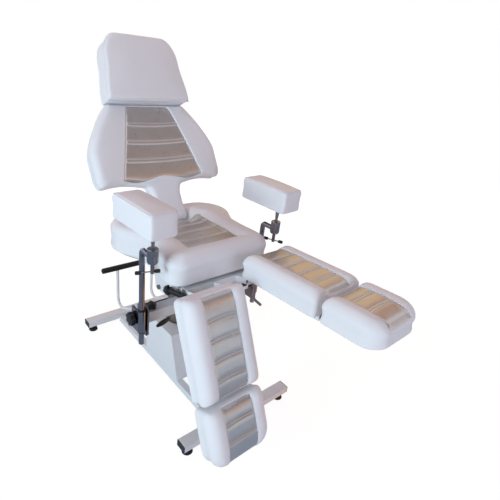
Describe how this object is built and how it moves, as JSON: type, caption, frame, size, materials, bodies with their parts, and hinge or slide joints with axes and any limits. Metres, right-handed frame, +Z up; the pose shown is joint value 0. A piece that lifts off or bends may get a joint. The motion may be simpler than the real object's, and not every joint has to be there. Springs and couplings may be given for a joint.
{
  "type": "hydraulic pedicure chair",
  "caption": "Hydraulic pedicure treatment chair with a pump pedal, reclining back, sliding headrest, split tilting leg rests and swing-out armrests.",
  "frame": {"origin": "middle of the chair's plan outline at floor level, with the left leg rest raised and the right one lowered", "axes": "+Z up; the client faces -Y; +X is the client's left"},
  "size_m": [0.7214, 1.4768, 1.4399],
  "materials": {
    "white_paint": "gloss",
    "white_vinyl": "satin",
    "bare_steel": "satin",
    "chrome_metal": "polished",
    "black_plastic": "satin",
    "black_rubber": "matte",
    "grey_board": "matte"
  },
  "bodies": {
    "base": {"base_front_bar": "white_paint", "base_rear_bar": "white_paint", "base_rails": "white_paint", "base_end_caps": "black_plastic", "levelling_feet": "black_rubber", "pump_housing": "white_paint", "pump_cylinder": "bare_steel"},
    "lift": {"lift_ram": "bare_steel", "column_sleeve": "bare_steel"},
    "carriage": {"carriage_yoke": "white_paint", "carriage_side_plates": "white_paint", "carriage_bolts": "bare_steel", "armrest_cross_tube": "white_paint", "seat_rails": "white_paint", "seat_rail_caps": "black_plastic", "leg_hinge_beam": "white_paint", "back_hinge_bar": "white_paint", "hinge_pins": "bare_steel", "seat_board": "grey_board", "seat_cushion": "white_vinyl"},
    "pedal": {"pedal_frame": "white_paint", "pedal_block": "black_plastic", "pedal_grip": "black_rubber"},
    "swivel_lock": {"swivel_lock_lever": "chrome_metal", "swivel_lock_grip": "black_plastic"},
    "back": {"back_frame": "white_paint", "back_cushion": "white_vinyl"},
    "head": {"head_frame": "chrome_metal", "head_cushion": "white_vinyl"},
    "leg_left": {"leg_frame_left": "white_paint", "leg_cushion_left": "white_vinyl"},
    "foot_left": {"foot_slide_left": "chrome_metal", "foot_cushion_left": "white_vinyl"},
    "release_left": {"release_lever_left": "chrome_metal"},
    "leg_lock_left": {"leg_lock_handle_left": "black_plastic"},
    "bracket_left": {"armrest_bracket_left": "chrome_metal"},
    "bush_left": {"armrest_bush_left": "black_plastic"},
    "post_left": {"armrest_post_left": "chrome_metal"},
    "pad_left": {"armrest_stem_left": "chrome_metal", "armrest_pad_left": "white_vinyl"},
    "tee_left": {"armrest_screw_left": "chrome_metal", "armrest_caps_left": "black_plastic"},
    "post_knob_left": {"post_knob_left": "black_plastic"},
    "slide_knob_left": {"slide_knob_left": "black_plastic"},
    "leg_right": {"leg_frame_right": "white_paint", "leg_cushion_right": "white_vinyl"},
    "foot_right": {"foot_slide_right": "chrome_metal", "foot_cushion_right": "white_vinyl"},
    "release_right": {"release_lever_right": "chrome_metal"},
    "leg_lock_right": {"leg_lock_handle_right": "black_plastic"},
    "bracket_right": {"armrest_bracket_right": "chrome_metal"},
    "bush_right": {"armrest_bush_right": "black_plastic"},
    "post_right": {"armrest_post_right": "chrome_metal"},
    "pad_right": {"armrest_stem_right": "chrome_metal", "armrest_pad_right": "white_vinyl"},
    "tee_right": {"armrest_screw_right": "chrome_metal", "armrest_caps_right": "black_plastic"},
    "post_knob_right": {"post_knob_right": "black_plastic"},
    "slide_knob_right": {"slide_knob_right": "black_plastic"}
  },
  "joints": [
    {"name": "lift_height", "type": "slide", "parent": "base", "child": "lift", "axis": [0, 0, 1], "range_m": [-0.09, 0.06]},
    {"name": "seat_swivel", "type": "hinge", "parent": "lift", "child": "carriage", "pos_m": [0, 0.22976, 0.467], "axis": [0, 0, 1], "range_deg": [-90, 90]},
    {"name": "pedal_press", "type": "hinge", "parent": "base", "child": "pedal", "pos_m": [0, 0.36676, 0.262], "axis": [-1, 0, 0], "range_deg": [0, 12], "stiffness_Nm_per_rad": 22, "springref_deg": -28.65},
    {"name": "swivel_lock_turn", "type": "hinge", "parent": "carriage", "child": "swivel_lock", "pos_m": [-0.026, 0.13376, 0.385], "axis": [0, 0, 1], "range_deg": [-20, 20]},
    {"name": "back_recline", "type": "hinge", "parent": "carriage", "child": "back", "pos_m": [0, 0.32692, 0.61969], "axis": [-1, 0, 0], "range_deg": [-6, 55]},
    {"name": "head_height", "type": "slide", "parent": "back", "child": "head", "axis": [0, 0.5284, 0.849], "range_m": [0, 0.08]},
    {"name": "leg_angle_left", "type": "hinge", "parent": "carriage", "child": "leg_left", "pos_m": [0.1643, -0.14924, 0.6415], "axis": [1, 0, 0], "range_deg": [-8, 74]},
    {"name": "foot_reach_left", "type": "slide", "parent": "leg_left", "child": "foot_left", "axis": [0, -0.9976, 0.0698], "range_m": [0, 0.09]},
    {"name": "release_pull_left", "type": "hinge", "parent": "leg_left", "child": "release_left", "pos_m": [0.0719, -0.17713, 0.64405], "axis": [-1, 0, 0], "range_deg": [0, 20], "stiffness_Nm_per_rad": 1, "springref_deg": -20.05},
    {"name": "leg_lock_turn_left", "type": "hinge", "parent": "carriage", "child": "leg_lock_left", "pos_m": [0.2, 0.01976, 0.59], "axis": [1, 0, 0], "range_deg": [0, 25]},
    {"name": "bracket_reach_left", "type": "slide", "parent": "carriage", "child": "bracket_left", "axis": [1, 0, 0], "range_m": [-0.01, 0.06]},
    {"name": "post_turn_left", "type": "hinge", "parent": "bracket_left", "child": "bush_left", "pos_m": [0.2963, 0.04976, 0.462], "axis": [0, 0, 1], "range_deg": [0, 90]},
    {"name": "post_height_left", "type": "slide", "parent": "bush_left", "child": "post_left", "axis": [0, 0, 1], "range_m": [-0.06, 0.07]},
    {"name": "pad_turn_left", "type": "hinge", "parent": "post_left", "child": "pad_left", "pos_m": [0.2963, -0.02524, 0.8], "axis": [0, 0, 1], "range_deg": [-60, 60]},
    {"name": "tee_turn_left", "type": "hinge", "parent": "post_left", "child": "tee_left", "pos_m": [0.2963, -0.02524, 0.74], "axis": [0, 0, 1], "range_deg": [-120, 120]},
    {"name": "post_knob_turn_left", "type": "hinge", "parent": "bracket_left", "child": "post_knob_left", "pos_m": [0.32, 0.08176, 0.462], "axis": [1, 0, 0], "range_deg": [0, 180]},
    {"name": "slide_knob_turn_left", "type": "hinge", "parent": "carriage", "child": "slide_knob_left", "pos_m": [0.238, 0.07976, 0.495], "axis": [0, 0, 1], "range_deg": [0, 180]},
    {"name": "leg_angle_right", "type": "hinge", "parent": "carriage", "child": "leg_right", "pos_m": [-0.1643, -0.14924, 0.6415], "axis": [1, 0, 0], "range_deg": [-77, 5]},
    {"name": "foot_reach_right", "type": "slide", "parent": "leg_right", "child": "foot_right", "axis": [0, -0.4194, -0.9078], "range_m": [0, 0.09]},
    {"name": "release_pull_right", "type": "hinge", "parent": "leg_right", "child": "release_right", "pos_m": [-0.0719, -0.16153, 0.61633], "axis": [-1, 0, 0], "range_deg": [0, 20], "stiffness_Nm_per_rad": 1, "springref_deg": -20.05},
    {"name": "leg_lock_turn_right", "type": "hinge", "parent": "carriage", "child": "leg_lock_right", "pos_m": [-0.2, 0.01976, 0.59], "axis": [1, 0, 0], "range_deg": [0, 25]},
    {"name": "bracket_reach_right", "type": "slide", "parent": "carriage", "child": "bracket_right", "axis": [-1, 0, 0], "range_m": [-0.01, 0.06]},
    {"name": "post_turn_right", "type": "hinge", "parent": "bracket_right", "child": "bush_right", "pos_m": [-0.2963, 0.04976, 0.462], "axis": [0, 0, -1], "range_deg": [0, 90]},
    {"name": "post_height_right", "type": "slide", "parent": "bush_right", "child": "post_right", "axis": [0, 0, 1], "range_m": [-0.06, 0.07]},
    {"name": "pad_turn_right", "type": "hinge", "parent": "post_right", "child": "pad_right", "pos_m": [-0.2963, -0.02524, 0.8], "axis": [0, 0, 1], "range_deg": [-60, 60]},
    {"name": "tee_turn_right", "type": "hinge", "parent": "post_right", "child": "tee_right", "pos_m": [-0.2963, -0.02524, 0.74], "axis": [0, 0, 1], "range_deg": [-120, 120]},
    {"name": "post_knob_turn_right", "type": "hinge", "parent": "bracket_right", "child": "post_knob_right", "pos_m": [-0.32, 0.08176, 0.462], "axis": [1, 0, 0], "range_deg": [0, 180]},
    {"name": "slide_knob_turn_right", "type": "hinge", "parent": "carriage", "child": "slide_knob_right", "pos_m": [-0.238, 0.07976, 0.495], "axis": [0, 0, 1], "range_deg": [0, 180]}
  ]
}
